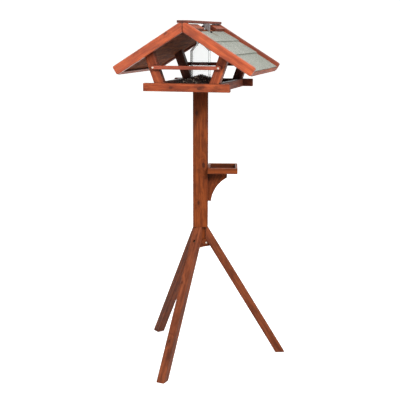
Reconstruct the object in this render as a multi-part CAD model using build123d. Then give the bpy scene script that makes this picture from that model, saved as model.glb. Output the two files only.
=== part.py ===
from build123d import *
import math
import os

# Driving dimensions, in millimetres and degrees.
# Z is up, the ground is z = 0 and the pole's axis is x = y = 0.
# The house's gables face -Y and +Y, and its ridge runs along Y.
ridge_height = 1150.0
roof_span = 460.0
roof_length = 440.0
roof_pitch = 31.9

barge_thick = 18.0
barge_depth = 30.0
barge_gap = 1.4
barge_edge = 3.2
barge_tail = 6.0
mitre_gap = 0.15

board_top = 16.0
board_thick = 8.0
eave_rail_size = 18.0
top_rail_end = 42.0
top_rail_top = 3.0
top_rail_height = 1139.0
fill_gap_length = 160.0

# Roofing strips, from the ridge down: start and end along the slope, and how far the lower end rides up.
felt_thick = 3.0
felt_strips = ((42.3, 106.0, 3.9), (92.0, 182.0, 3.6), (168.0, 267.0, 0.0))

lid_width = 35.0
lid_thick = 8.0
lid_edge = 1.6
lid_rest_gap = 0.3

hinge_places = (-130.0, 130.0)
hinge_out = 2.8
hinge_up = 0.6
leaf_thick = 1.2
leaf_half = 15.0
leaf_reach = 13.0
leaf_plate_rise = 3.0
knuckle_radius = 2.2
knuckle_half = 6.7
knuckle_gap = 0.3
hinge_pin_radius = 1.0
hinge_pin_head = 1.8
hinge_bore_radius = 1.05

clip_place = -12.0
clip_thick = 1.6
clip_reach = 15.5
clip_fold = 9.0
clip_clear = 1.2
stud_place = 50.0
stud_radius = 3.6
stud_height = 5.4

tray_front_width = 282.0
tray_depth = 365.0
tray_side_width = 218.0
tray_bottom = 930.0
rim_height = 26.0
rim_thick = 18.0
rim_edge = 2.2
inner_edge = 1.2
floor_thick = 10.0

post_size = 30.0
post_lean = 20.0
post_foot_x = 90.0
post_setback = 6.0
post_edge = 2.0

perch_size = 12.0
perch_length = 225.0
perch_height = 1005.0
perch_edge = 2.2

silo_width = 64.0
silo_depth = 26.0
silo_wall = 2.5
silo_shoulder = 1055.0
silo_neck_width = 28.0
silo_top = 1129.0
outflow_height = 24.0

# Seed heap: height over the tray floor, with the half widths of the oval along X and Y.
seed_ovals = ((0.0, 84.0, 118.0), (14.0, 66.0, 90.0), (26.0, 46.0, 56.0), (35.0, 22.0, 26.0))

pole_size = 50.0
pole_edge = 2.5
pole_bottom = 462.0
stand_turn = 13.0

leg_turn = 19.0
leg_width = 28.0
leg_depth = 28.0
leg_edge = 2.0
leg_top_radius = 23.0
leg_spread = 0.597
leg_screw_sink = 6.0
leg_screw_height = 11.7
leg_screw_bore_radius = 5.2
core_flat = 16.0
collar_flat = 20.0
collar_bottom = 391.0
collar_thick = 27.0
collar_screw_height = 13.5
collar_screw_side = 10.0

cup_length = 100.0
cup_width = 120.0
cup_bottom = 651.0
cup_height = 19.0
cup_wall = 8.0
cup_floor_thick = 6.0
bracket_reach = 65.0
bracket_drop = 101.0
bracket_nose = 20.0
bracket_toe = 11.0
bracket_hollow = 12.0
bracket_thick = 18.0

# Pan-head screws: head radius, head height, shank radius, length.
perch_screw_size = (3.3, 2.0, 1.8, 26.0)
collar_screw_size = (3.2, 2.0, 1.6, 9.0)

# Countersunk screws: head radius, shank radius, length.
pole_screw_size = (4.6, 2.2, 60.0)
leg_screw_size = (4.6, 2.2, 30.0)
cup_screw_size = (3.6, 1.8, 24.0)
pole_screw_side = 13.0
cup_screw_side = 14.0
cup_screw_height = 13.0
cup_screw_reaches = (18.0, 46.0)

bolt_flat = 6.5
bolt_head = 6.0
bolt_radius = 4.0
bolt_length = 131.0
washer_radius = 10.0
washer_thick = 1.6

tray_top = tray_bottom + rim_height
floor_top = tray_bottom + floor_thick
roof_cos = math.cos(math.radians(roof_pitch))
roof_sin = math.sin(math.radians(roof_pitch))
roof_tan = math.tan(math.radians(roof_pitch))
slope_length = roof_span / 2 / roof_cos
panel_half = roof_length / 2 - barge_thick
post_tan = math.tan(math.radians(post_lean))
post_face = tray_depth / 2 - post_setback
leg_angle = math.degrees(math.atan(leg_spread))
leg_reach = leg_depth * math.hypot(1, leg_spread)
hinge_x = -lid_width / 2 - hinge_out
hinge_z = ridge_height - lid_thick + hinge_up


def slope_point(along, depth):
    # Point on the right-hand slope: distance down from the ridge, and depth below the barges' top line.
    x = along * roof_cos - depth * roof_sin
    return (x, ridge_height - along * roof_sin - depth * roof_cos)


def slope_z(x, depth):
    # Height over x of the plane that lies a given depth below the barges' top line.
    return ridge_height - depth / roof_cos - abs(x) * roof_tan


def panel_outline(along_low, along_high, depth_low, depth_high):
    return (slope_point(along_low, depth_low), slope_point(along_high, depth_low),
            slope_point(along_high, depth_high), slope_point(along_low, depth_high))


def prism_y(points, y_low, y_high):
    # Solid with an outline in X and Z that runs along Y.
    outline = Plane((0, y_low, 0), x_dir=(1, 0, 0), z_dir=(0, -1, 0)) * Polygon(*points, align=None)
    return extrude(outline, amount=y_high - y_low, dir=(0, 1, 0))


def block(x_low, x_high, y_low, y_high, z_low, z_high):
    centre = ((x_low + x_high) / 2, (y_low + y_high) / 2, (z_low + z_high) / 2)
    return Pos(*centre) * Box(x_high - x_low, y_high - y_low, z_high - z_low)


def rod_y(x, z, radius, y_low, y_high):
    return Pos(x, (y_low + y_high) / 2, z) * Rot(90, 0, 0) * Cylinder(radius, y_high - y_low)


def ease_all(solid, radius):
    return fillet(solid.edges(), radius)


def ease_long(solid, radius, shortest):
    # Rounds over only the long arrises.
    return fillet([edge for edge in solid.edges() if edge.length > shortest], radius)


def flip_x(solid):
    return mirror(solid, Plane.YZ)


def flip_y(solid):
    return mirror(solid, Plane.XZ)


def turn(solid, angle):
    return Rot(0, 0, angle) * solid


def cut_all(solid, cutters):
    for cutter in cutters:
        solid = solid - cutter
    return solid


def drill(wood, screws):
    # The wood fits round its screws; the plugs left inside their heads' recesses are dropped.
    return max(cut_all(wood, screws).solids(), key=lambda piece: piece.volume)


def cross_recess(radius, depth):
    slot = Box(radius * 1.1, radius * 0.24, depth)
    return slot + Rot(0, 0, 90) * slot


def screw_shank(radius, z_high, length):
    # Plain shank with a pointed tip, from z_high down to -length.
    tip = radius * 2
    straight = length - tip + z_high
    return (Pos(0, 0, z_high - straight / 2) * Cylinder(radius, straight)
            + Pos(0, 0, -length + tip / 2) * Cone(0.3, radius, tip))


def pan_screw(head_radius, head_height, shank_radius, length):
    # The head's underside lies on z = 0.
    head = Pos(0, 0, head_height / 2) * Cylinder(head_radius, head_height)
    head = fillet(head.edges().group_by(Axis.Z)[-1], head_height * 0.45)
    head -= Pos(0, 0, head_height) * cross_recess(head_radius, head_height)
    return head + screw_shank(shank_radius, 0, length)


def countersunk_screw(head_radius, shank_radius, length):
    # The head's flat top lies on z = 0.
    sink = head_radius - shank_radius
    head = Pos(0, 0, -sink / 2) * Cone(shank_radius, head_radius, sink)
    return head - cross_recess(head_radius, sink) + screw_shank(shank_radius, -sink, length)


# The tray: four rims around a floor.

def rim_front():
    half_x = tray_front_width / 2
    outer = -tray_depth / 2
    body = block(-half_x, half_x, outer, outer + rim_thick, tray_bottom, tray_top)
    return ease_all(body, rim_edge)


def rim_right():
    outer = tray_side_width / 2
    half = tray_depth / 2 - rim_thick
    body = block(outer - rim_thick, outer, -half, half, tray_bottom, tray_top)
    return ease_long(body, inner_edge, half)


def tray_floor():
    half_x = tray_side_width / 2 - rim_thick
    half_y = tray_depth / 2 - rim_thick
    return block(-half_x, half_x, -half_y, half_y, tray_bottom, floor_top)


# The four leaning posts and the two perches.

def post_top(shift):
    # Where one side of the post meets the underside of the roof board.
    start = post_foot_x + shift - tray_top * post_tan
    z = (slope_z(0, board_top + board_thick) - start * roof_tan) / (1 + post_tan * roof_tan)
    return (start + z * post_tan, z)


def post_foot(shift):
    return (post_foot_x + shift + (floor_top - tray_top) * post_tan, floor_top)


def post():
    # Right-hand front post, lapped over the corner of the rims and standing on the floor.
    half = post_size / 2 / math.cos(math.radians(post_lean))
    outline = (post_foot(-half), post_foot(half), post_top(half), post_top(-half))
    body = ease_long(prism_y(outline, -post_face, -post_face + post_size), post_edge, post_size * 2)
    return cut_all(body, (rim_front(), rim_right()))


def perch():
    low = perch_height - perch_size / 2
    outer = -post_face - perch_size
    body = block(-perch_length / 2, perch_length / 2, outer, -post_face, low, low + perch_size)
    return ease_all(body, perch_edge)


def perch_screws():
    x = post_foot_x + (perch_height - tray_top) * post_tan - 2
    screw = Rot(90, 0, 0) * pan_screw(*perch_screw_size)
    front = [Pos(side * x, -post_face - perch_size, perch_height) * screw for side in (-1, 1)]
    return front + [flip_y(piece) for piece in front]


# The roof.

def barge():
    # Right-hand front barge board, mitred at the ridge, with its tip cut level for the lid.
    seat = ridge_height - lid_thick - lid_rest_gap
    outline = ((barge_gap, seat), ((ridge_height - seat) / roof_tan, seat), slope_point(slope_length, 0),
               slope_point(slope_length, barge_depth), (barge_gap, slope_z(barge_gap, barge_depth)))
    body = prism_y(outline, -roof_length / 2, -panel_half)
    tail_x = slope_point(slope_length, barge_depth)[0] - 1
    low_edges = [edge for edge in body.edges() if edge.center().X > tail_x]
    tail = [edge for edge in low_edges if abs(edge.length - barge_thick) < 0.01]
    return ease_long(fillet(tail, barge_tail), barge_edge, slope_length / 2)


def roof_board():
    # Right-hand board, with half of the hole for the hopper's neck in its upper edge.
    lower = board_top + board_thick
    rail_start = slope_length - eave_rail_size
    outline = ((mitre_gap, slope_z(mitre_gap, board_top)), slope_point(rail_start, board_top),
               slope_point(rail_start, lower), (mitre_gap, slope_z(mitre_gap, lower)))
    neck = block(-silo_neck_width / 2, silo_neck_width / 2, -silo_depth / 2, silo_depth / 2,
                 silo_shoulder, ridge_height)
    return prism_y(outline, -panel_half, panel_half) - neck


def eave_rail():
    outline = panel_outline(slope_length - eave_rail_size, slope_length, board_top, barge_depth)
    body = prism_y(outline, -panel_half, panel_half)
    tail_x = slope_point(slope_length, barge_depth)[0] - 1
    outer = [edge for edge in body.edges() if edge.center().X > tail_x and edge.length > panel_half]
    return fillet(outer, inner_edge)


def top_rail():
    # Front rail beside the ridge on the right-hand slope. The gap behind it is for filling.
    flat_x = (slope_z(0, top_rail_top) - top_rail_height) / roof_tan
    outline = ((mitre_gap, top_rail_height), (flat_x, top_rail_height),
               slope_point(top_rail_end, top_rail_top), slope_point(top_rail_end, board_top),
               (mitre_gap, slope_z(mitre_gap, board_top)))
    return prism_y(outline, -panel_half, -fill_gap_length / 2)


def felt_strip(start, end, rise):
    outline = (slope_point(start, board_top - felt_thick), slope_point(end, board_top - felt_thick - rise),
               slope_point(end, board_top - rise), slope_point(start, board_top))
    return prism_y(outline, -panel_half, panel_half)


def roof_stud():
    # Round-headed stud beside the clip, square to the right-hand slope.
    x, z = slope_point(stud_place, board_top - felt_thick)
    head = Pos(0, 0, stud_height / 2) * Cylinder(stud_radius, stud_height)
    head = fillet(head.edges().group_by(Axis.Z)[-1], stud_height * 0.45)
    shank = Pos(0, 0, -board_thick / 2) * Cylinder(1.5, board_thick)
    return Pos(x, clip_place + clip_fold, z) * Rot(0, roof_pitch, 0) * (head + shank)


# The clear hopper and the seed.

def silo_outline(inset):
    # Right-hand half of the hopper's outline seen from the gable, from shoulder to neck.
    half = silo_width / 2 - inset
    neck = silo_neck_width / 2 - inset
    shoulder = silo_shoulder - inset * (math.sqrt(2) - 1)
    return [(half, shoulder), (neck, shoulder + half - neck), (neck, silo_top)]


def silo_side():
    # Right-hand wall: one strip bent in at the shoulder and up at the neck, standing on the tray floor.
    outer = silo_outline(0)
    inner = silo_outline(silo_wall)
    outline = [(outer[0][0], floor_top)] + outer + inner[::-1] + [(inner[0][0], floor_top)]
    return prism_y(outline, -silo_depth / 2, silo_depth / 2)


def silo_pane():
    # Front pane between the two walls, stopped short of the floor so that the seed runs out.
    right = [(silo_outline(silo_wall)[0][0], floor_top + outflow_height)] + silo_outline(silo_wall)
    left = [(-x, z) for x, z in right[::-1]]
    return prism_y(right + left, -silo_depth / 2, -silo_depth / 2 + silo_wall)


def seed_fill(walls):
    ovals = []
    for height, half_x, half_y in seed_ovals:
        ovals.append(Plane((0, 0, floor_top + height)) * Ellipse(half_x, half_y))
    return cut_all(loft(ovals), walls)


# The ridge lid, its two hinges and its clip.

def ridge_lid():
    low = ridge_height - lid_thick
    body = block(-lid_width / 2, lid_width / 2, -roof_length / 2, roof_length / 2, low, ridge_height)
    return ease_all(body, lid_edge)


def hinge_lid_leaf(y):
    # Leaf on the lid's left edge, with the middle knuckle.
    face = -lid_width / 2
    back = face - leaf_thick
    web = hinge_z + knuckle_radius - leaf_thick
    plate = hinge_z + leaf_plate_rise
    body = block(back, face, y - leaf_half, y + leaf_half, plate, ridge_height - lid_edge)
    body += block(back, face, y - knuckle_half, y + knuckle_half, web, plate)
    body += block(hinge_x, face, y - knuckle_half, y + knuckle_half, web, web + leaf_thick)
    body += rod_y(hinge_x, hinge_z, knuckle_radius, y - knuckle_half, y + knuckle_half)
    return body - rod_y(hinge_x, hinge_z, hinge_bore_radius, y - leaf_half, y + leaf_half)


def hinge_roof_leaf(y):
    # Leaf on the left-hand top rail, with the two outer knuckles.
    start = (top_rail_top * roof_sin - hinge_x) / roof_cos
    right = panel_outline(start - leaf_thick, start + leaf_reach, top_rail_top - leaf_thick, top_rail_top)
    body = prism_y([(-x, z) for x, z in right], y - leaf_half, y + leaf_half)
    inner = knuckle_half + knuckle_gap
    rail_z = slope_z(hinge_x, top_rail_top - leaf_thick / 2)
    for low, high in ((y - leaf_half, y - inner), (y + inner, y + leaf_half)):
        body += block(hinge_x - leaf_thick / 2, hinge_x + leaf_thick / 2, low, high, rail_z, hinge_z)
        body += rod_y(hinge_x, hinge_z, knuckle_radius, low, high)
    return body - rod_y(hinge_x, hinge_z, hinge_bore_radius, y - leaf_half, y + leaf_half)


def hinge_pin(y):
    body = rod_y(hinge_x, hinge_z, hinge_pin_radius, y - leaf_half, y + leaf_half)
    for low in (y - leaf_half - 1, y + leaf_half):
        body += rod_y(hinge_x, hinge_z, hinge_pin_head, low, low + 1)
    return body


def lid_clip():
    # Bent steel clip under the lid's right edge: a flange on the lid, a tapered cheek, and a fold down its
    # outer edge, which stops just clear of the roofing beside the stud.
    face = lid_width / 2
    top = ridge_height - lid_thick
    tip = face + clip_reach
    foot = slope_z(tip, board_top - felt_thick) + clip_clear
    low_y = clip_place - clip_thick / 2
    cheek = ((face - 6, top), (tip, top), (tip, foot), (face + 8, foot + 5.5), (face - 6, top - 5))
    body = prism_y(cheek, low_y, low_y + clip_thick)
    body += block(face - 14, face - 2, low_y, low_y + 16, top - clip_thick, top)
    return body + block(tip - clip_thick, tip, low_y, low_y + clip_fold, foot + clip_thick, top)


# The stand: pole, three legs on a hexagonal core, and the collar between them.

def pole():
    half = pole_size / 2
    body = block(-half, half, -half, half, pole_bottom, tray_bottom)
    return turn(ease_long(body, pole_edge, pole_size * 2), stand_turn)


def ring_points(flat, sides, first_face):
    # Corners of a regular polygon given the distance to its flats and the direction of one flat.
    half_step = math.pi / sides
    reach = flat / math.cos(half_step)
    angles = [math.radians(first_face) + half_step + 2 * half_step * index for index in range(sides)]
    return [(reach * math.cos(angle), reach * math.sin(angle)) for angle in angles]


def ring_prism(flat, sides, first_face, z_low, z_high):
    outline = Plane((0, 0, z_low)) * Polygon(*ring_points(flat, sides, first_face), align=None)
    return extrude(outline, amount=z_high - z_low)


def leg_core():
    return ring_prism(core_flat, 6, leg_turn, collar_bottom, pole_bottom)


def leg_outline():
    # Seen from the side: cut plumb against the core, level under the pole and level on the ground.
    low_outer = leg_top_radius + leg_spread * pole_bottom
    plumb_end = pole_bottom - (core_flat - leg_top_radius + leg_reach) / leg_spread
    return ((core_flat, pole_bottom), (leg_top_radius, pole_bottom), (low_outer, 0),
            (low_outer - leg_reach, 0), (core_flat, plumb_end))


def leg_angles():
    return [leg_turn, leg_turn + 120, leg_turn + 240]


def leg(angle):
    body = prism_y(leg_outline(), -leg_width / 2, leg_width / 2)
    return turn(ease_long(body, leg_edge, pole_bottom / 2), angle)


def leg_collar():
    # Triangle whose flats lie between the legs and whose cut corners bear on the legs' inner faces.
    collar_top = collar_bottom + collar_thick
    body = ring_prism(collar_flat, 3, leg_turn + 60, collar_bottom, collar_top) - leg_core()
    bearing = prism_y(leg_outline(), -collar_flat * 3, collar_flat * 3)
    return cut_all(body, [turn(bearing, angle) for angle in leg_angles()])


def leg_screw_spot():
    # On the leg's outer face, square to it, with Z pointing out of the leg.
    z = collar_bottom + leg_screw_height
    inner = leg_top_radius - leg_reach + leg_spread * (pole_bottom - z)
    tilt = math.radians(leg_angle)
    outer = Pos(inner + leg_depth * math.cos(tilt), 0, z + leg_depth * math.sin(tilt))
    return outer * Rot(0, 90 - leg_angle, 0)


def leg_screw(angle):
    # Sunk below the leg's outer face, and on into the collar's corner.
    sunk = Pos(0, 0, -leg_screw_sink) * countersunk_screw(*leg_screw_size)
    return turn(leg_screw_spot() * sunk, angle)


def leg_screw_bore(angle):
    return turn(leg_screw_spot() * Cylinder(leg_screw_bore_radius, leg_screw_sink * 2), angle)


def collar_screw(angle):
    spot = Pos(collar_flat, collar_screw_side, collar_bottom + collar_screw_height) * Rot(0, 90, 0)
    return turn(spot * pan_screw(*collar_screw_size), angle - 60)


def centre_bolt():
    # Hexagon bolt with a washer, up through the core into the pole's end grain.
    head_top = collar_bottom - washer_thick
    head = ring_prism(bolt_flat, 6, 0, head_top - bolt_head, head_top)
    washer = Pos(0, 0, collar_bottom - washer_thick / 2) * Cylinder(washer_radius, washer_thick)
    shank = Pos(0, 0, head_top + bolt_length / 2) * Cylinder(bolt_radius, bolt_length)
    return head + washer + shank


def pole_screws():
    # Two screws through the tray floor into the pole's top end.
    screw = countersunk_screw(*pole_screw_size)
    places = (-pole_screw_side, pole_screw_side)
    return [turn(Pos(x, 0, floor_top) * screw, stand_turn) for x in places]


# The small open box on the pole's side, and the bracket under it.

def cup_pieces():
    near = pole_size / 2
    near_face = near + cup_wall
    far = near + cup_length
    far_face = far - cup_wall
    half = cup_width / 2
    inner = half - cup_wall
    low = cup_bottom
    top = low + cup_height
    front = ease_all(block(near, far, -half, -inner, low, top), inner_edge)
    return {
        "cup_floor": block(near_face, far_face, -inner, inner, low, low + cup_floor_thick),
        "cup_wall_front": front,
        "cup_wall_back": flip_y(front),
        "cup_wall_inner": block(near, near_face, -inner, inner, low, top),
        "cup_wall_outer": ease_long(block(far_face, far, -inner, inner, low, top), inner_edge, half),
    }


def cup_bracket():
    near = pole_size / 2
    low = cup_bottom - bracket_drop
    nose = (near + bracket_reach, cup_bottom - bracket_nose)
    toe = (near + bracket_toe, low)
    chord = math.hypot(nose[0] - toe[0], nose[1] - toe[1])
    middle = ((nose[0] + toe[0]) / 2 - bracket_hollow * (nose[1] - toe[1]) / chord,
              (nose[1] + toe[1]) / 2 + bracket_hollow * (nose[0] - toe[0]) / chord)
    straight = Polyline(toe, (near, low), (near, cup_bottom), (near + bracket_reach, cup_bottom), nose)
    edges = straight + ThreePointArc(nose, middle, toe)
    plane = Plane((0, -bracket_thick / 2, 0), x_dir=(1, 0, 0), z_dir=(0, -1, 0))
    return extrude(plane * make_face(edges), amount=bracket_thick, dir=(0, 1, 0))


def cup_screws():
    # Two through the inner wall into the pole, then two down through the floor into the bracket.
    screw = countersunk_screw(*cup_screw_size)
    near = pole_size / 2
    screws = []
    for y in (-cup_screw_side, cup_screw_side):
        screws.append(Pos(near + cup_wall, y, cup_bottom + cup_screw_height) * Rot(0, 90, 0) * screw)
    for reach in cup_screw_reaches:
        screws.append(Pos(near + reach, 0, cup_bottom + cup_floor_thick) * screw)
    return [turn(piece, stand_turn) for piece in screws]


def build_parts():
    parts = {}
    rims = {"front": rim_front(), "back": flip_y(rim_front()),
            "left": flip_x(rim_right()), "right": rim_right()}
    for side, body in rims.items():
        parts["tray_rim_" + side] = body

    house_screws = pole_screws()
    parts["tray_floor"] = drill(tray_floor(), house_screws)
    parts["pole_screws"] = Compound(children=house_screws)

    screws = perch_screws()
    parts["perch_screws"] = Compound(children=screws)
    front_right = post()
    posts = {"front_right": front_right, "front_left": flip_x(front_right),
             "back_right": flip_y(front_right), "back_left": flip_x(flip_y(front_right))}
    for place, body in posts.items():
        parts["post_" + place] = drill(body, screws)
    parts["perch_front"] = drill(perch(), screws)
    parts["perch_back"] = drill(flip_y(perch()), screws)

    stud = roof_stud()
    parts["roof_stud"] = stud
    parts["roof_board_right"] = roof_board() - stud
    parts["roof_board_left"] = flip_x(roof_board())
    parts["eave_rail_right"] = eave_rail()
    parts["eave_rail_left"] = flip_x(eave_rail())
    for name, make in (("barge", barge), ("top_rail", top_rail)):
        body = make()
        parts[name + "_front_right"] = body
        parts[name + "_front_left"] = flip_x(body)
        parts[name + "_back_right"] = flip_y(body)
        parts[name + "_back_left"] = flip_x(flip_y(body))
    for number, (start, end, rise) in enumerate(felt_strips, 1):
        body = felt_strip(start, end, rise)
        parts["felt_right_%d" % number] = body - stud
        parts["felt_left_%d" % number] = flip_x(body)

    walls = {"silo_side_right": silo_side(), "silo_side_left": flip_x(silo_side()),
             "silo_pane_front": silo_pane(), "silo_pane_back": flip_y(silo_pane())}
    parts.update(walls)
    parts["seed_fill"] = seed_fill(walls.values())

    parts["ridge_lid"] = ridge_lid()
    parts["lid_clip"] = lid_clip()
    parts["lid_hinge_leaves"] = Compound(children=[hinge_lid_leaf(y) for y in hinge_places])
    parts["roof_hinge_leaves"] = Compound(children=[hinge_roof_leaf(y) for y in hinge_places])
    parts["hinge_pins"] = Compound(children=[hinge_pin(y) for y in hinge_places])

    bolt = centre_bolt()
    box_screws = cup_screws()
    leg_screws = [leg_screw(angle) for angle in leg_angles()]
    collar_screws = [collar_screw(angle) for angle in leg_angles()]
    parts["centre_bolt"] = bolt
    parts["leg_screws"] = Compound(children=leg_screws)
    parts["collar_screws"] = Compound(children=collar_screws)
    parts["pole"] = drill(pole(), house_screws + box_screws[:2] + [bolt])
    parts["leg_core"] = drill(leg_core(), collar_screws + leg_screws + [bolt])
    parts["leg_collar"] = drill(leg_collar(), collar_screws + leg_screws)
    for place, angle, screw in zip(("right", "back", "front"), leg_angles(), leg_screws):
        parts["leg_" + place] = drill(leg(angle), [leg_screw_bore(angle), screw])

    parts["cup_screws"] = Compound(children=box_screws)
    for name, body in cup_pieces().items():
        parts[name] = drill(turn(body, stand_turn), box_screws)
    parts["cup_bracket"] = drill(turn(cup_bracket(), stand_turn), box_screws[2:])
    return parts


os.makedirs("parts", exist_ok=True)
for node, solid in build_parts().items():
    export_step(solid, "parts/" + node + ".step")
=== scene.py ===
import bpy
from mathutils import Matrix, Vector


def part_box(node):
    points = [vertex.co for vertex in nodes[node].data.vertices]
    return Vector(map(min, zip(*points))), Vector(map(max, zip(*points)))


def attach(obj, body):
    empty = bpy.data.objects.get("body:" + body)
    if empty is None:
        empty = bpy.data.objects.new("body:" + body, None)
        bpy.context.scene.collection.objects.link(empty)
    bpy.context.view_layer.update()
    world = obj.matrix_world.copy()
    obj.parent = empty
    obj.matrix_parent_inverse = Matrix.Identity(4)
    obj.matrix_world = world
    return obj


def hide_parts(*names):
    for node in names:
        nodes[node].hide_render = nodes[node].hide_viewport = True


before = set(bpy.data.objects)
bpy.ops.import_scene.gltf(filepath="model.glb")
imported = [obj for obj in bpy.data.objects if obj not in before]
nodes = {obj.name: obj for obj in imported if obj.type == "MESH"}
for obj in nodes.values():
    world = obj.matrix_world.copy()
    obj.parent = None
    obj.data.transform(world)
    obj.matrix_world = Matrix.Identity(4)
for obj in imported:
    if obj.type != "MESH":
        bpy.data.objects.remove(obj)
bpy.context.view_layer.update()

import math
import random
import bpy
import bmesh
import numpy as np
from mathutils import Matrix, Vector, noise

scene = bpy.context.scene


def paint(red, green, blue):
    # a paint-card colour, 0 to 255, as the shader wants it
    channels = []
    for value in (red, green, blue):
        value = value / 255
        channels.append(value / 12.92 if value < 0.04045 else ((value + 0.055) / 1.055) ** 2.4)
    return tuple(channels) + (1.0,)


def blendOf(first, second, amount):
    return tuple(a + (b - a) * amount for a, b in zip(first, second))


class Graph:
    # a material and its node tree, built from the surface backwards
    def __init__(self, name):
        self.material = bpy.data.materials.new(name)
        self.material.use_nodes = True
        self.tree = self.material.node_tree
        self.tree.nodes.clear()
        self.end = self.tree.nodes.new("ShaderNodeOutputMaterial")

    def put(self, kind, inputs=None, **settings):
        made = self.tree.nodes.new("ShaderNode" + kind)
        for key, value in settings.items():
            setattr(made, key, value)
        for key, value in (inputs or {}).items():
            self.feed(made.inputs[key], value)
        return made

    def feed(self, socket, value):
        if isinstance(value, bpy.types.NodeSocket):
            self.tree.links.new(value, socket)
        else:
            socket.default_value = value

    def math(self, operation, *values):
        made = self.put("Math", operation=operation)
        for index, value in enumerate(values):
            self.feed(made.inputs[index], value)
        return made.outputs[0]

    def vector(self, operation, *values, out="Vector"):
        made = self.put("VectorMath", operation=operation)
        for index, value in enumerate(values):
            self.feed(made.inputs[index], value)
        return made.outputs[out]

    def mix(self, amount, first, second):
        made = self.put("Mix", data_type="RGBA")
        self.feed(made.inputs[0], amount)
        self.feed(made.inputs[6], first)
        self.feed(made.inputs[7], second)
        return made.outputs[2]

    def span(self, value, low, high, newLow=0.0, newHigh=1.0):
        made = self.put("MapRange", {"Value": value, "From Min": low, "From Max": high,
                                     "To Min": newLow, "To Max": newHigh})
        return made.outputs["Result"]

    def fade(self, value, band, share):
        # rises from 0 to the share as the value goes through the band
        return self.math("MULTIPLY", self.span(value, *band), share)

    def fog(self, vector, scale, detail=3.0, roughness=0.55):
        made = self.put("TexNoise", {"Vector": vector, "Scale": scale, "Detail": detail,
                                     "Roughness": roughness})
        return made.outputs["Fac"]

    def surface(self, **inputs):
        names = {key.replace("_", " "): value for key, value in inputs.items()}
        shader = self.put("BsdfPrincipled", names)
        self.tree.links.new(shader.outputs[0], self.end.inputs["Surface"])

    def bump(self, height, strength, distance, below=None):
        made = self.put("Bump", {"Height": height, "Strength": strength, "Distance": distance})
        if below is not None:
            self.feed(made.inputs["Normal"], below)
        return made.outputs["Normal"]


def wear(piece, material):
    piece.data.materials.clear()
    piece.data.materials.append(material)


def named(start):
    return [name for name in sorted(nodes) if name.startswith(start)]


camera = {
    "place": (0.7402, -2.7656, 1.1115),
    "turn": 14.98,      # degrees round the pole, to the right
    "tilt": 11.09,      # degrees down
    "roll": 0.06,
    "lens": 76.8, "film": 36, "farthest": 60,
    "shift": (-0.0015, 0.0007),
}


def makeCamera(look):
    turn, tilt, roll = (math.radians(look[key]) for key in ("turn", "tilt", "roll"))
    ahead = Vector((-math.sin(turn) * math.cos(tilt), math.cos(turn) * math.cos(tilt), -math.sin(tilt)))
    right = Vector((math.cos(turn), math.sin(turn), 0))
    up = right.cross(ahead)
    right, up = (right * math.cos(roll) + up * math.sin(roll), up * math.cos(roll) - right * math.sin(roll))
    data = bpy.data.cameras.new("camera")
    data.lens = look["lens"]
    data.sensor_width = look["film"]
    data.clip_end = look["farthest"]
    data.shift_x, data.shift_y = look["shift"]
    eye = bpy.data.objects.new("camera", data)
    turned = Matrix((right, up, -ahead)).transposed().to_4x4()
    eye.matrix_world = Matrix.Translation(look["place"]) @ turned
    scene.collection.objects.link(eye)
    scene.camera = eye


makeCamera(camera)
print("camera placed")


# stained wood, one entry for each finish; ring is the width of a growth ring in metres,
# one share is how much the upper arrises are worn pale and given a painted highlight, another how much
# painted shade darkens wood that little light reaches
woods = {
    "barge": {"light": paint(195, 92, 46), "dark": paint(152, 57, 24), "deep": paint(86, 31, 13),
              "bareAndHighlight": paint(244, 204, 184), "ring": 0.0046, "patch": 0.72,
              "rough": 0.36, "gloss": 0.5, "rubAndHighlight": 0.85, "paintedShade": 0.0},
    "gable": {"light": paint(160, 76, 44), "dark": paint(120, 48, 26), "deep": paint(66, 25, 13),
              "bareAndHighlight": paint(188, 118, 88), "ring": 0.0046, "patch": 0.7,
              "rough": 0.4, "gloss": 0.4, "rubAndHighlight": 0.5, "paintedShade": 0.3},
    "house": {"light": paint(184, 92, 52), "dark": paint(132, 55, 28), "deep": paint(64, 24, 12),
              "bareAndHighlight": paint(206, 128, 90), "ring": 0.0038, "patch": 0.85,
              "rough": 0.5, "gloss": 0.22, "rubAndHighlight": 0.4, "paintedShade": 0.95},
    "perch": {"light": paint(178, 92, 68), "dark": paint(140, 62, 42), "deep": paint(90, 38, 24),
              "bareAndHighlight": paint(214, 148, 122), "ring": 0.0034, "patch": 0.65,
              "rough": 0.48, "gloss": 0.25, "rubAndHighlight": 0.6, "paintedShade": 0.2},
    "stand": {"light": paint(150, 74, 32), "dark": paint(96, 40, 14), "deep": paint(48, 19, 8),
              "bareAndHighlight": paint(162, 88, 48), "ring": 0.0042, "patch": 0.7,
              "rough": 0.54, "gloss": 0.14, "rubAndHighlight": 0.2, "paintedShade": 0.85},
    "leg": {"light": paint(148, 77, 44), "dark": paint(98, 45, 23), "deep": paint(50, 22, 11),
            "bareAndHighlight": paint(174, 102, 66), "ring": 0.0042, "patch": 0.7,
            "rough": 0.54, "gloss": 0.18, "rubAndHighlight": 0.15, "paintedShade": 0.3},
    "board": {"light": paint(172, 100, 62), "dark": paint(122, 68, 42), "deep": paint(56, 31, 21),
              "bareAndHighlight": paint(176, 118, 86), "ring": 0.0050, "patch": 0.95,
              "rough": 0.74, "gloss": 0.1, "rubAndHighlight": 0.1, "paintedShade": 0.0},
    "lid": {"light": paint(136, 72, 56), "dark": paint(92, 48, 40), "deep": paint(52, 32, 28),
            "bareAndHighlight": paint(160, 102, 80), "ring": 0.0040, "patch": 0.6,
            "rough": 0.58, "gloss": 0.16, "rubAndHighlight": 0.4, "paintedShade": 0.0},
}


def grainOf(piece):
    # the direction of the piece's length
    points = np.array([v.co for v in piece.data.vertices], float)
    points = points - points.mean(0)
    return Vector(np.linalg.eigh(points.T @ points)[1][:, -1])


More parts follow.
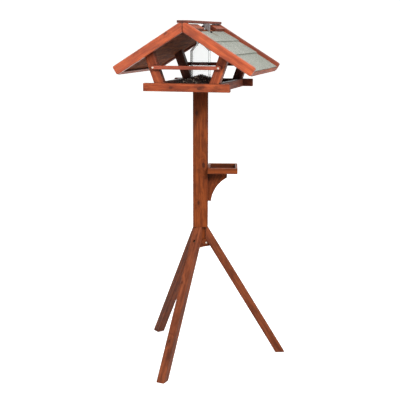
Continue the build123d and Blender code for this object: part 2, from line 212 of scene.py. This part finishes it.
def faceOf(piece, grain):
    # the direction that the widest long face looks in; on a square piece, the one nearest the front
    lengthwise, frontFavour = 0.9, 0.02
    areas = {}
    for polygon in piece.data.polygons:
        across = polygon.normal - grain * polygon.normal.dot(grain)
        if across.length > lengthwise:
            key = tuple(round(value, 1) + 0.0 for value in across.normalized())
            areas.setdefault(key, [0.0, across.normalized()])
            areas[key][0] += polygon.area * (1 - frontFavour * across.y)
    return max(areas.values(), key=lambda entry: entry[0])[1]


def boardTurn(grain, face):
    # turns the board so that its grain runs along X and its wide face looks along Z
    side = face.cross(grain).normalized()
    return Matrix((grain, side, grain.cross(side))).to_euler()


# what all the finishes share, sizes in metres: a band is where a pattern starts and where it is full,
# and a share is its strength
figure = {
    "patterns": {           # how fine along, across and through the board, then detail and roughness
        "streaks": ((7.0, 110.0, 110.0), 5.0, 0.65),
        "fibres": ((45.0, 1500.0, 1500.0), 2.0, 0.6),
        "cloud": ((14.0, 42.0, 42.0), 4.0, 0.6),
        "blotch": ((40.0, 90.0, 90.0), 3.0, 0.6),
    },
    "streakBand": (0.39, 0.61), "streakShare": 0.74,
    "poreBand": (0.60, 0.72), "poreShare": 0.35,
    "cloudBand": (0.46, 0.68), "cloudDepth": 0.6,
    "blotchBand": (0.56, 0.74), "blotchShare": 0.6,
    "pith": (0.35, 0.9), "pithMargin": 0.05,        # the rings' middle, in widths of board and margin
    "driftFine": (1.6, 9.0, 9.0), "driftSize": 2.4, "driftReach": 0.020,
    "ringTaper": 0.012, "ringCurve": 2.2, "ringShare": 0.36,
    "endBand": (0.75, 0.97), "endShare": 0.4,
    "arris": 0.0026, "arrisBand": (0.985, 0.88),    # how wide an arris wears
    # pale wear with a painted highlight on upper arrises, gathered stain with painted shade on lower ones
    "rubHighlightBand": (0.36, 0.56), "rubHighlightUp": (-0.2, 0.6),
    "gatherShadeBand": (0.58, 0.40), "gatherShadeUp": (0.6, 0.1), "gatherShadeShare": 0.7,
    # painted shade: how far the occlusion looks, its band, and the darkest colour it paints
    "shadeReach": 0.24, "shadeBand": (0.64, 0.32), "shadeColour": paint(20, 8, 5),
    "lateSmooth": 0.3, "smoothBand": (0.3, 1.0), "duller": 0.12, "smoother": -0.04,
    "pit": -0.6, "ridge": 0.35, "groove": (0.6, 0.0004),        # pits in the fibres, ridges of late wood
    "dent": (0.3, 0.0012), "dentSize": 60.0,
}

# knots, with every reach in knot radii
knot = {
    "colour": paint(30, 14, 9), "colourShare": 0.4, "share": 0.75,
    "stretch": 0.55, "ragged": 130.0, "raggedReach": 1.1,      # longer along the grain, and rough
    "pull": 2.6, "swell": 2.4,          # how far out the rings bend, and how far they move
    "core": (1.2, 0.6), "halo": (2.6, 0.9), "haloShare": 0.35,
}


def knotMarks(graph, board, knots):
    # how far the rings bend round the knots, and where the knots darken the wood
    swell = 0.0
    scar = 0.0
    for along, across, size in knots:
        spot = graph.vector("SUBTRACT", board, (along, across, 0.0))
        flat = graph.vector("MULTIPLY", spot, (knot["stretch"], 1.0, 0.0))
        wobble = graph.fog(board, knot["ragged"], 2.0)
        away = graph.math("ADD", graph.vector("LENGTH", flat, out="Value"),
                          graph.math("MULTIPLY", graph.math("SUBTRACT", wobble, 0.5),
                                     size * knot["raggedReach"]))
        near = graph.math("DIVIDE", away, size * knot["pull"])
        pull = graph.math("EXPONENT", graph.math("MULTIPLY", graph.math("MULTIPLY", near, near), -1.0))
        swell = graph.math("ADD", swell, graph.math("MULTIPLY", pull, size * knot["swell"]))
        core = graph.span(away, *(size * radius for radius in knot["core"]))
        halo = graph.fade(away, [size * radius for radius in knot["halo"]], knot["haloShare"])
        scar = graph.math("MAXIMUM", scar, graph.math("MAXIMUM", core, halo))
    return swell, scar


def ringMarks(graph, place, swell, width):
    # the dark late wood of the growth rings
    drift = graph.fog(graph.vector("MULTIPLY", place, figure["driftFine"]), figure["driftSize"], 3.0)
    radius = graph.vector("LENGTH", graph.vector("MULTIPLY", place, (figure["ringTaper"], 1.0, 1.0)),
                          out="Value")
    wander = graph.math("ADD", radius, graph.math("MULTIPLY", drift, figure["driftReach"]))
    ring = graph.math("FRACT", graph.math("DIVIDE", graph.math("ADD", wander, swell), width))
    return graph.math("POWER", ring, figure["ringCurve"])


def arrisWearAndShade(graph, colour, look, facing, blotch):
    # the upper arrises are rubbed thin here and there and given a painted highlight, and the lower ones
    # carry gathered stain and painted shade
    edge = graph.put("Bevel", {"Radius": figure["arris"]}, samples=4)
    flatness = graph.vector("DOT_PRODUCT", edge.outputs["Normal"],
                            graph.put("NewGeometry").outputs["Normal"], out="Value")
    corner = graph.span(flatness, *figure["arrisBand"])
    upward = graph.put("SeparateXYZ", {"Vector": facing}).outputs["Z"]
    rubbedAndLit = graph.math("MULTIPLY", graph.math("MULTIPLY", corner, graph.span(blotch, *figure["rubHighlightBand"])),
                        graph.span(upward, *figure["rubHighlightUp"]))
    colour = graph.mix(graph.math("MULTIPLY", rubbedAndLit, look["rubAndHighlight"]), colour, look["bareAndHighlight"])
    pooledAndShaded = graph.math("MULTIPLY", corner, graph.span(blotch, *figure["gatherShadeBand"]))
    gatheredAndShaded = graph.math("MULTIPLY", pooledAndShaded, graph.span(upward, *figure["gatherShadeUp"]))
    return graph.mix(graph.math("MULTIPLY", gatheredAndShaded, figure["gatherShadeShare"]), colour, look["deep"])


def paintShade(graph, colour, look):
    # painted shade: wood that little light reaches, under the roof and in hollows, is darkened
    sky = graph.put("AmbientOcclusion", {"Distance": figure["shadeReach"]}, samples=4)
    shadeMask = graph.fade(sky.outputs["AO"], figure["shadeBand"], look["paintedShade"])
    return graph.mix(shadeMask, colour, blendOf(look["deep"], figure["shadeColour"], 0.5))


def woodFinish(name, look, grain, face, middle, width, knots):
    chance = random.Random(name)
    graph = Graph("wood_" + name)
    space = graph.put("TexCoord").outputs
    centre = graph.vector("SUBTRACT", space["Object"], tuple(middle))
    board = graph.put("Mapping", {"Vector": centre, "Rotation": boardTurn(grain, face)}).outputs["Vector"]
    swell, scar = knotMarks(graph, board, knots)

    # growth rings about a pith line outside the board
    pith = chance.uniform(*figure["pith"]) * (width + figure["pithMargin"])
    lean = chance.uniform(0, 2 * math.pi)
    offset = (chance.uniform(-9, 9), pith * math.cos(lean), pith * math.sin(lean))
    place = graph.vector("ADD", board, offset)
    late = ringMarks(graph, place, swell, look["ring"])

    # long streaks of stain, patches where the wood drank more, and the fine fibres
    streaks, fibres, cloud, blotch = [
        graph.fog(graph.vector("MULTIPLY", place, fineness), 1.0, detail, roughness)
        for fineness, detail, roughness in figure["patterns"].values()]
    pores = graph.span(fibres, *figure["poreBand"])
    tone = graph.math("ADD", graph.math("MULTIPLY", late, figure["ringShare"]),
                      graph.fade(streaks, figure["streakBand"], figure["streakShare"]))
    colour = graph.mix(graph.math("MINIMUM", tone, 1.0), look["light"], look["dark"])
    colour = graph.mix(graph.fade(cloud, figure["cloudBand"], look["patch"]), colour,
                       blendOf(look["dark"], look["deep"], figure["cloudDepth"]))
    colour = graph.mix(graph.fade(blotch, figure["blotchBand"], look["patch"] * figure["blotchShare"]),
                       colour, look["deep"])
    colour = graph.mix(graph.math("MULTIPLY", pores, figure["poreShare"]), colour, look["deep"])

    # end grain drinks more stain
    along = graph.vector("DOT_PRODUCT", space["Normal"], tuple(grain), out="Value")
    endGrain = graph.fade(graph.math("ABSOLUTE", along), figure["endBand"], figure["endShare"])
    colour = graph.mix(endGrain, colour, look["deep"])

    colour = arrisWearAndShade(graph, colour, look, space["Normal"], blotch)
    # painted shade where little light reaches
    if look["paintedShade"] > 0:
        colour = paintShade(graph, colour, look)
    if knots:
        colour = graph.mix(graph.math("MULTIPLY", scar, knot["share"]), colour,
                           blendOf(look["deep"], knot["colour"], knot["colourShare"]))

    # the late wood and the fibres' hollows are the smoother ones
    smooth = graph.math("ADD", fibres, graph.math("MULTIPLY", late, figure["lateSmooth"]))
    rough = graph.span(smooth, *figure["smoothBand"],
                       look["rough"] + figure["duller"], look["rough"] + figure["smoother"])
    grooves = graph.math("ADD", graph.math("MULTIPLY", fibres, figure["pit"]),
                         graph.math("MULTIPLY", late, figure["ridge"]))
    dents = graph.fog(place, figure["dentSize"], 2.0)
    normal = graph.bump(grooves, *figure["groove"])
    normal = graph.bump(dents, *figure["dent"], normal)
    graph.surface(Base_Color=colour, Roughness=rough, Normal=normal, Specular_IOR_Level=look["gloss"])
    return graph.material


# knots on certain boards: metres along from the middle, metres across, radius
knotPlaces = {
    "tray_rim_front": [(-0.048, -0.001, 0.0054), (0.045, -0.001, 0.0058)],
    "pole": [(0.155, 0.008, 0.0050), (-0.020, -0.012, 0.0060), (-0.150, 0.006, 0.0045)],
}

# and elsewhere: boards shorter than shortest have none, and those over long have more
strayKnots = {
    "shortest": 0.15, "few": (0, 1, 1, 2), "long": 0.5, "many": (2, 3),
    "along": 0.42, "across": 0.3, "radius": (0.0022, 0.0046),
}


def scatterKnots(name, length, width, look):
    chance = random.Random("knots " + name)
    if name in knotPlaces:
        return knotPlaces[name]
    if length < look["shortest"]:
        return []
    count = chance.choice(look["few"] if length < look["long"] else look["many"])
    return [(chance.uniform(-look["along"], look["along"]) * length,
             chance.uniform(-look["across"], look["across"]) * width,
             chance.uniform(*look["radius"])) for _ in range(count)]


def finishWood(kind, names, grain=None):
    for name in names:
        piece = nodes[name]
        along = Vector(grain).normalized() if grain else grainOf(piece)
        face = faceOf(piece, along)
        low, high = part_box(name)
        middle = (low + high) / 2
        length = 2 * max(abs((v.co - middle).dot(along)) for v in piece.data.vertices)
        width = 2 * max(abs((v.co - middle).dot(face.cross(along))) for v in piece.data.vertices)
        knots = scatterKnots(name, length, width, strayKnots)
        wear(piece, woodFinish(name, woods[kind], along, face, middle, width, knots))


standTurn = math.radians(13)     # the pole and the little tray stand turned by this much
finishWood("barge", named("barge_front"))
finishWood("gable", named("barge_back"))
finishWood("house", named("eave_rail") + named("top_rail") + named("tray_rim") + named("post_"))
finishWood("perch", ["perch_front", "perch_back"])
finishWood("house", ["tray_floor"], grain=(0, 1, 0))
finishWood("stand", ["pole", "leg_core", "cup_bracket"] + named("cup_wall"))
finishWood("leg", ["leg_right", "leg_back", "leg_front"])
finishWood("stand", ["leg_collar"], grain=(1, 0, 0))
finishWood("stand", ["cup_floor"], grain=(-math.sin(standTurn), math.cos(standTurn), 0))
finishWood("board", named("roof_board"), grain=(0, 1, 0))
finishWood("lid", ["ridge_lid"])
print("wood stained")


# mineral roofing felt; grit is the size of its stones in metres
felt = {
    "grit": 0.0011,
    "pale": paint(199, 199, 190), "grey": paint(157, 159, 150), "green": paint(134, 141, 129),
    # the last colour is that of a painted shadow beside the stud
    "dark": paint(84, 86, 80), "shadowTint": paint(120, 96, 70),
    "paleBand": (0.25, 0.75), "greenBand": (0.70, 0.80), "darkBand": (0.86, 0.92),
    "mossSize": 22.0, "mossBand": (0.42, 0.70), "mossShare": 0.45,
    "worn": 5.0, "wornBand": (0.48, 0.72), "wornShare": 0.3,
    "shadowX": 0.010, "shadowY": 0.016, "shadowSize": 0.017,       # a painted shadow beside the stud
    "shadowWide": 0.75, "shadowRagged": 90.0, "shadowShare": 0.6,
    "stone": (0.55, 0.0006), "sag": (0.35, 0.0016),
    "rough": 0.88, "gloss": 0.25,
}


def studShadow(graph, colour, space, look):
    # a painted shadow on the felt beside the roof stud, falling down the slope
    low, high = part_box("roof_stud")
    middle = (low + high) / 2 + Vector((look["shadowX"], look["shadowY"], 0))
    beside = graph.vector("SUBTRACT", space, tuple(middle))
    flat = graph.vector("MULTIPLY", beside, (1.0, look["shadowWide"], 0.0))
    wobble = graph.math("SUBTRACT", graph.fog(space, look["shadowRagged"], 3.0), 0.5)
    ragged = graph.math("MULTIPLY", wobble, look["shadowSize"])
    away = graph.math("ADD", graph.vector("LENGTH", flat, out="Value"), ragged)
    shadowed = graph.fade(away, (look["shadowSize"], look["shadowSize"] * 0.2), look["shadowShare"])
    return graph.mix(shadowed, colour, look["shadowTint"])


def feltFinish(name, look):
    graph = Graph("felt_" + name)
    space = graph.put("TexCoord").outputs["Object"]
    chance = random.Random(name)
    place = graph.vector("ADD", space, tuple(chance.uniform(-3, 3) for _ in range(3)))
    grit = graph.put("TexVoronoi", {"Vector": place, "Scale": 1 / look["grit"], "Randomness": 1.0})
    which = graph.put("SeparateColor", {"Color": grit.outputs["Color"]})
    moss = graph.fog(place, look["mossSize"], 4.0, 0.6)
    worn = graph.fog(place, look["worn"], 3.0)
    colour = graph.mix(graph.span(which.outputs[0], *look["paleBand"]), look["grey"], look["pale"])
    colour = graph.mix(graph.span(which.outputs[1], *look["greenBand"]), colour, look["green"])
    colour = graph.mix(graph.span(which.outputs[2], *look["darkBand"]), colour, look["dark"])
    colour = graph.mix(graph.fade(moss, look["mossBand"], look["mossShare"]), colour, look["green"])
    colour = graph.mix(graph.fade(worn, look["wornBand"], look["wornShare"]), colour, look["grey"])
    colour = studShadow(graph, colour, space, look)
    stones = graph.math("SUBTRACT", 1.0, grit.outputs["Distance"])
    normal = graph.bump(stones, *look["stone"])
    normal = graph.bump(moss, *look["sag"], normal)
    graph.surface(Base_Color=colour, Roughness=look["rough"], Normal=normal,
                  Specular_IOR_Level=look["gloss"])
    return graph.material


for name in named("felt_"):
    wear(nodes[name], feltFinish(name, felt))
print("roof felted")


# clear hopper: its panes, and its bent sides with sawn edges
acrylic = {
    "walls": {
        "pane": {"tintAndReflection": paint(251, 252, 252), "sawnAndReflection": paint(251, 252, 252)},
        # the left side and its sawn edges are coloured dark as a painted reflection of the shaded inside,
        # and the right side carries a faint painted grey one
        "left": {"tintAndReflection": paint(138, 136, 133), "sawnAndReflection": paint(34, 33, 32)},
        "right": {"tintAndReflection": paint(240, 243, 243), "sawnAndReflection": paint(206, 210, 210)},
    },
    "sawnBand": (0.9, 0.98),
    "smearRun": (1.0, 1.0, 0.45), "smear": 26.0, "smearBand": (0.35, 0.75), "smearBump": (0.05, 0.002),
    "polished": 0.01, "smeared": 0.07,
    "dust": paint(206, 202, 194), "dustSize": 420.0, "dustBand": (0.62, 0.74), "dustShare": 0.07,
    "bending": 1.49, "clear": 0.97,
}


def acrylicFinish(name, look):
    wall = look["walls"][name]
    graph = Graph("clear_" + name)
    space = graph.put("TexCoord").outputs
    smears = graph.fog(graph.vector("MULTIPLY", space["Object"], look["smearRun"]), look["smear"], 4.0)
    dust = graph.fog(space["Object"], look["dustSize"], 2.0)
    facing = graph.put("SeparateXYZ", {"Vector": space["Normal"]}).outputs["Y"]
    sawnAndReflection = graph.span(graph.math("ABSOLUTE", facing), *look["sawnBand"])
    # on the side walls these colours are painted reflections
    colour = graph.mix(sawnAndReflection, wall["tintAndReflection"], wall["sawnAndReflection"])
    colour = graph.mix(graph.fade(dust, look["dustBand"], look["dustShare"]), colour, look["dust"])
    rough = graph.span(smears, *look["smearBand"], look["polished"], look["smeared"])
    normal = graph.bump(smears, *look["smearBump"])
    graph.surface(Base_Color=colour, Roughness=rough, Normal=normal, IOR=look["bending"],
                  Transmission_Weight=look["clear"])
    return graph.material


for name in named("silo_"):
    kind = "pane" if "pane" in name else name.split("_")[-1]
    wear(nodes[name], acrylicFinish(kind, acrylic))
print("hopper glazed")


metals = {
    "zinc": {"colour": paint(214, 206, 194), "dull": paint(150, 140, 126), "rough": 0.32},
    "grey": {"colour": paint(150, 146, 146), "dull": paint(96, 90, 90), "rough": 0.5},
    "brown": {"colour": paint(104, 78, 62), "dull": paint(60, 44, 36), "rough": 0.45},
    "black": {"colour": paint(34, 32, 32), "dull": paint(20, 19, 19), "rough": 0.4},
}

# bloom clouds the metal, and the scratches run flat round it
metalWear = {
    "bloom": 340.0, "bloomBand": (0.45, 0.75),
    "scratchRun": (1.0, 1.0, 8.0), "scratch": 900.0, "scratchBand": (0.3, 0.7),
    "scratchBump": (0.2, 0.0002),
    "smoother": -0.08, "rougher": 0.16,
}


def metalFinish(name, look, wearing):
    graph = Graph("metal_" + name)
    space = graph.put("TexCoord").outputs["Object"]
    bloom = graph.fog(space, wearing["bloom"], 4.0, 0.65)
    scratch = graph.fog(graph.vector("MULTIPLY", space, wearing["scratchRun"]), wearing["scratch"], 2.0)
    colour = graph.mix(graph.span(bloom, *wearing["bloomBand"]), look["colour"], look["dull"])
    rough = graph.span(scratch, *wearing["scratchBand"],
                       look["rough"] + wearing["smoother"], look["rough"] + wearing["rougher"])
    normal = graph.bump(scratch, *wearing["scratchBump"])
    graph.surface(Base_Color=colour, Roughness=rough, Normal=normal, Metallic=1.0)
    return graph.material


zinc, grey, brown, black = (metalFinish(name, look, metalWear) for name, look in metals.items())
brightPieces = [name for name in sorted(nodes) if name.endswith("_screws") and name != "leg_screws"]
for name in brightPieces + ["centre_bolt", "hinge_pins", "lid_hinge_leaves", "roof_hinge_leaves"]:
    wear(nodes[name], zinc)
wear(nodes["lid_clip"], grey)
wear(nodes["leg_screws"], brown)
wear(nodes["roof_stud"], black)
print("metal done")


# loose seed, sizes in metres and angles in radians
seed = {
    "count": 2900,
    "length": 0.0118, "width": 0.0068, "thickness": 0.0044,
    "outline": ((-0.92, 0.42), (-0.35, 0.95), (0.30, 0.90), (0.85, 0.34)),   # along, and how wide there
    "corners": 6, "sizes": (0.75, 1.1), "lean": 0.9,
    "spread": 0.97, "proud": (0.0008, 0.0040),      # how far out on the heap, and how high over its core
    "stray": 190, "strayLean": 0.12,                # seeds that lie loose on the tray floor
    "strayEdgeX": 0.02, "strayEdgeY": 0.035, "strayFrom": 0.9,
    "shuffle": 5,                                   # another number lays the seeds another way
    "dark": paint(22, 17, 15), "brown": paint(66, 48, 38), "brownBand": (0.3, 0.7),
    "pale": paint(214, 198, 178), "paleBand": (0.90, 0.92),
    "speck": paint(104, 88, 74), "speckSize": 900.0, "speckBand": (0.5, 0.7), "speckShare": 0.28,
    "husk": (0.3, 0.0003), "rough": 0.55,
}

# the heap under them: a low cone over an oval
heap = {
    "rings": 16, "spokes": 48,
    "height": 0.97, "curve": 0.9, "core": 0.93,     # of the room it has, and how much of that is solid
    "inward": 0.999, "sink": 0.0015,                # the core keeps inside the oval and under the seeds
    "lump": 0.0012, "lumpFine": 60,
}


def seedFinish(look):
    graph = Graph("seed_husk")
    space = graph.put("TexCoord").outputs["Object"]
    body = graph.put("Attribute", attribute_name="seedTone").outputs["Fac"]
    speck = graph.fog(space, look["speckSize"], 3.0)
    colour = graph.mix(graph.span(body, *look["brownBand"]), look["dark"], look["brown"])
    colour = graph.mix(graph.span(body, *look["paleBand"]), colour, look["pale"])
    colour = graph.mix(graph.fade(speck, look["speckBand"], look["speckShare"]), colour, look["speck"])
    normal = graph.bump(speck, *look["husk"])
    graph.surface(Base_Color=colour, Roughness=look["rough"], Normal=normal)
    return graph.material


def heapHeight(x, y, low, high):
    halfX, halfY = (high.x - low.x) / 2, (high.y - low.y) / 2
    away = math.sqrt((x / halfX) ** 2 + (y / halfY) ** 2)
    if away >= 1:
        return 0.0
    return (high.z - low.z) * (1 - away) ** heap["curve"] * heap["height"]


def addCore(mesh, low, high, look):
    rings, spokes = look["rings"], look["spokes"]
    grid = []
    for ring in range(rings + 1):
        row = []
        for spoke in range(spokes):
            angle = 2 * math.pi * spoke / spokes
            share = ring / rings
            x = share * (high.x - low.x) / 2 * math.cos(angle)
            y = share * (high.y - low.y) / 2 * math.sin(angle)
            lift = heapHeight(x * look["inward"], y * look["inward"], low, high) * look["core"]
            lump = noise.noise(Vector((x, y, 0)) * look["lumpFine"]) * look["lump"]
            row.append(mesh.verts.new((x, y, low.z + max(lift + lump - look["sink"], 0.0))))
            if ring == 0:
                break
        grid.append(row)
    for spoke in range(spokes):
        after = (spoke + 1) % spokes
        mesh.faces.new((grid[0][0], grid[1][spoke], grid[1][after]))
        for inner, outer in zip(grid[1:], grid[2:]):
            mesh.faces.new((inner[spoke], outer[spoke], outer[after], inner[after]))
    mesh.faces.new(list(reversed(grid[rings])))


def addSeed(mesh, tone, chance, look, place, lean):
    size = chance.uniform(*look["sizes"])
    shade = chance.random()
    turn = Matrix.Rotation(chance.uniform(0, 2 * math.pi), 3, "Z")
    roll = Matrix.Rotation(chance.uniform(-lean, lean), 3, "X")
    pitch = Matrix.Rotation(chance.uniform(-lean, lean), 3, "Y")
    half = Vector((look["length"], look["width"], look["thickness"])) * size / 2
    corners = look["corners"]
    loops = []
    for step, reach in look["outline"]:
        loop = []
        for corner in range(corners):
            angle = 2 * math.pi * corner / corners
            across, up = reach * half.y * math.cos(angle), reach * half.z * math.sin(angle)
            loop.append(mesh.verts.new(place + turn @ (roll @ pitch) @ Vector((step * half.x, across, up))))
        loops.append(loop)
    for before, after in zip(loops, loops[1:]):
        for corner in range(corners):
            other = (corner + 1) % corners
            mesh.faces.new((before[corner], after[corner], after[other], before[other]))
    mesh.faces.new(loops[0])
    mesh.faces.new(list(reversed(loops[-1])))
    for loop in loops:
        for vertex in loop:
            vertex[tone] = shade


def makeSeeds(look):
    low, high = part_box("seed_fill")
    floorLow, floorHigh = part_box("tray_floor")
    chance = random.Random(look["shuffle"])
    mesh = bmesh.new()
    tone = mesh.verts.layers.float.new("seedTone")
    addCore(mesh, low, high, heap)

    halfX, halfY = (high.x - low.x) / 2, (high.y - low.y) / 2
    for _ in range(look["count"]):
        angle = chance.uniform(0, 2 * math.pi)
        share = math.sqrt(chance.random()) * look["spread"]
        x, y = share * halfX * math.cos(angle), share * halfY * math.sin(angle)
        lift = heapHeight(x, y, low, high) * heap["core"]
        place = Vector((x, y, low.z + lift + chance.uniform(*look["proud"])))
        addSeed(mesh, tone, chance, look, place, look["lean"])
    for _ in range(look["stray"]):
        x = chance.uniform(floorLow.x + look["strayEdgeX"], floorHigh.x - look["strayEdgeX"])
        y = chance.uniform(floorLow.y + look["strayEdgeY"], floorHigh.y - look["strayEdgeY"])
        if (x / halfX) ** 2 + (y / halfY) ** 2 > look["strayFrom"]:
            place = Vector((x, y, low.z + look["thickness"] * 0.5))
            addSeed(mesh, tone, chance, look, place, look["strayLean"])

    data = bpy.data.meshes.new("seed_heap")
    mesh.to_mesh(data)
    mesh.free()
    for face in data.polygons:
        face.use_smooth = True
    pile = bpy.data.objects.new("seed_heap", data)
    scene.collection.objects.link(pile)
    wear(pile, seedFinish(look))
    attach(pile, "root")
    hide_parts("seed_fill")


makeSeeds(seed)
print("seed poured")


backdrop = {
    "flat": 6.0, "sweep": 2.0, "rise": 2.6,         # metres: how far it lies flat, its curve, its top
    "flatRings": (0.0, 0.25, 0.5, 1.0), "sweepSteps": 12, "spokes": 64,
    "paper": paint(252, 252, 251), "fleck": paint(244, 244, 242), "fleckSize": 3.0, "fleckShare": 0.05,
    "glow": 0.62,        # light that the paper adds, to look white
    "thrownBack": 0.2,   # how much light it gives back to the feeder
}


def makeFloor(look):
    # a round pale sheet that lies flat and sweeps up all round
    flat, sweep, steps, spokes = look["flat"], look["sweep"], look["sweepSteps"], look["spokes"]
    profile = [(flat * share, 0.0) for share in look["flatRings"]]
    profile += [(flat + sweep * math.sin(a), sweep - sweep * math.cos(a))
                for a in (math.pi / 2 * step / steps for step in range(1, steps + 1))]
    profile.append((flat + sweep, look["rise"]))
    data = bpy.data.meshes.new("backdrop")
    points = []
    for radius, height in profile:
        for spoke in range(spokes):
            angle = 2 * math.pi * spoke / spokes
            points.append((radius * math.cos(angle), radius * math.sin(angle), height))
    faces = []
    for ring in range(len(profile) - 1):
        for spoke in range(spokes):
            after = (spoke + 1) % spokes
            faces.append((ring * spokes + spoke, ring * spokes + after,
                          (ring + 1) * spokes + after, (ring + 1) * spokes + spoke))
    data.from_pydata(points, [], [tuple(reversed(face)) for face in faces])
    for face in data.polygons:
        face.use_smooth = True
    sheet = bpy.data.objects.new("backdrop", data)
    scene.collection.objects.link(sheet)
    wear(sheet, paperFinish(look))


def paperFinish(look):
    # white to the eye, but it throws less light back than white paper would
    graph = Graph("paper")
    fleck = graph.fog(graph.put("TexCoord").outputs["Object"], look["fleckSize"], 2.0)
    colour = graph.mix(graph.math("MULTIPLY", fleck, look["fleckShare"]), look["paper"], look["fleck"])
    lit = graph.put("BsdfDiffuse", {"Color": colour})
    dark = graph.put("BsdfDiffuse", {"Color": (look["thrownBack"],) * 3 + (1.0,)})
    bright = graph.put("Emission", {"Color": colour, "Strength": look["glow"]})
    seen = graph.put("AddShader")
    graph.tree.links.new(lit.outputs[0], seen.inputs[0])
    graph.tree.links.new(bright.outputs[0], seen.inputs[1])
    choose = graph.put("MixShader", {"Fac": graph.put("LightPath").outputs["Is Diffuse Ray"]})
    graph.tree.links.new(seen.outputs[0], choose.inputs[1])
    graph.tree.links.new(dark.outputs[0], choose.inputs[2])
    graph.tree.links.new(choose.outputs[0], graph.end.inputs["Surface"])
    return graph.material


lamps = {                # watts, metres, and the height on the pole that each one looks at
    "key": {"power": 108.0, "place": (1.7, -2.4, 2.3), "size": 1.0, "aim": 0.9},
    "fill": {"power": 30.0, "place": (-2.4, -2.9, 1.6), "size": 2.4, "aim": 0.7},
    "back": {"power": 60.0, "place": (-1.6, 3.0, 2.6), "size": 1.8, "aim": 0.8},
}


def makeLamp(name, look):
    data = bpy.data.lights.new(name, "AREA")
    data.energy = look["power"]
    data.size = look["size"]
    lamp = bpy.data.objects.new(name, data)
    lamp.location = look["place"]
    toAim = Vector((0, 0, look["aim"])) - Vector(look["place"])
    lamp.rotation_euler = toAim.to_track_quat("-Z", "Y").to_euler()
    scene.collection.objects.link(lamp)


studioSky = {
    "seen": 1.0,                          # how bright it looks
    "horizon": 0.12, "overhead": 0.72,    # how much light it gives
}


def makeSky(look):
    world = bpy.data.worlds.new("studio")
    world.use_nodes = True
    tree = world.node_tree
    sky = tree.nodes["Background"]
    sky.inputs["Color"].default_value = (1, 1, 1, 1)
    path = tree.nodes.new("ShaderNodeLightPath")
    way = tree.nodes.new("ShaderNodeTexCoord")
    split = tree.nodes.new("ShaderNodeSeparateXYZ")
    fill = tree.nodes.new("ShaderNodeMapRange")
    fill.inputs["To Min"].default_value = look["horizon"]
    fill.inputs["To Max"].default_value = look["overhead"]
    level = tree.nodes.new("ShaderNodeMapRange")
    level.inputs["To Min"].default_value = look["seen"]
    tree.links.new(way.outputs["Generated"], split.inputs[0])
    tree.links.new(split.outputs["Z"], fill.inputs["Value"])
    tree.links.new(fill.outputs["Result"], level.inputs["To Max"])
    tree.links.new(path.outputs["Is Diffuse Ray"], level.inputs["Value"])
    tree.links.new(level.outputs["Result"], sky.inputs["Strength"])
    scene.world = world


makeFloor(backdrop)
for name, look in lamps.items():
    makeLamp(name, look)
makeSky(studioSky)
scene.view_settings.view_transform = "Standard"
print("lights on")
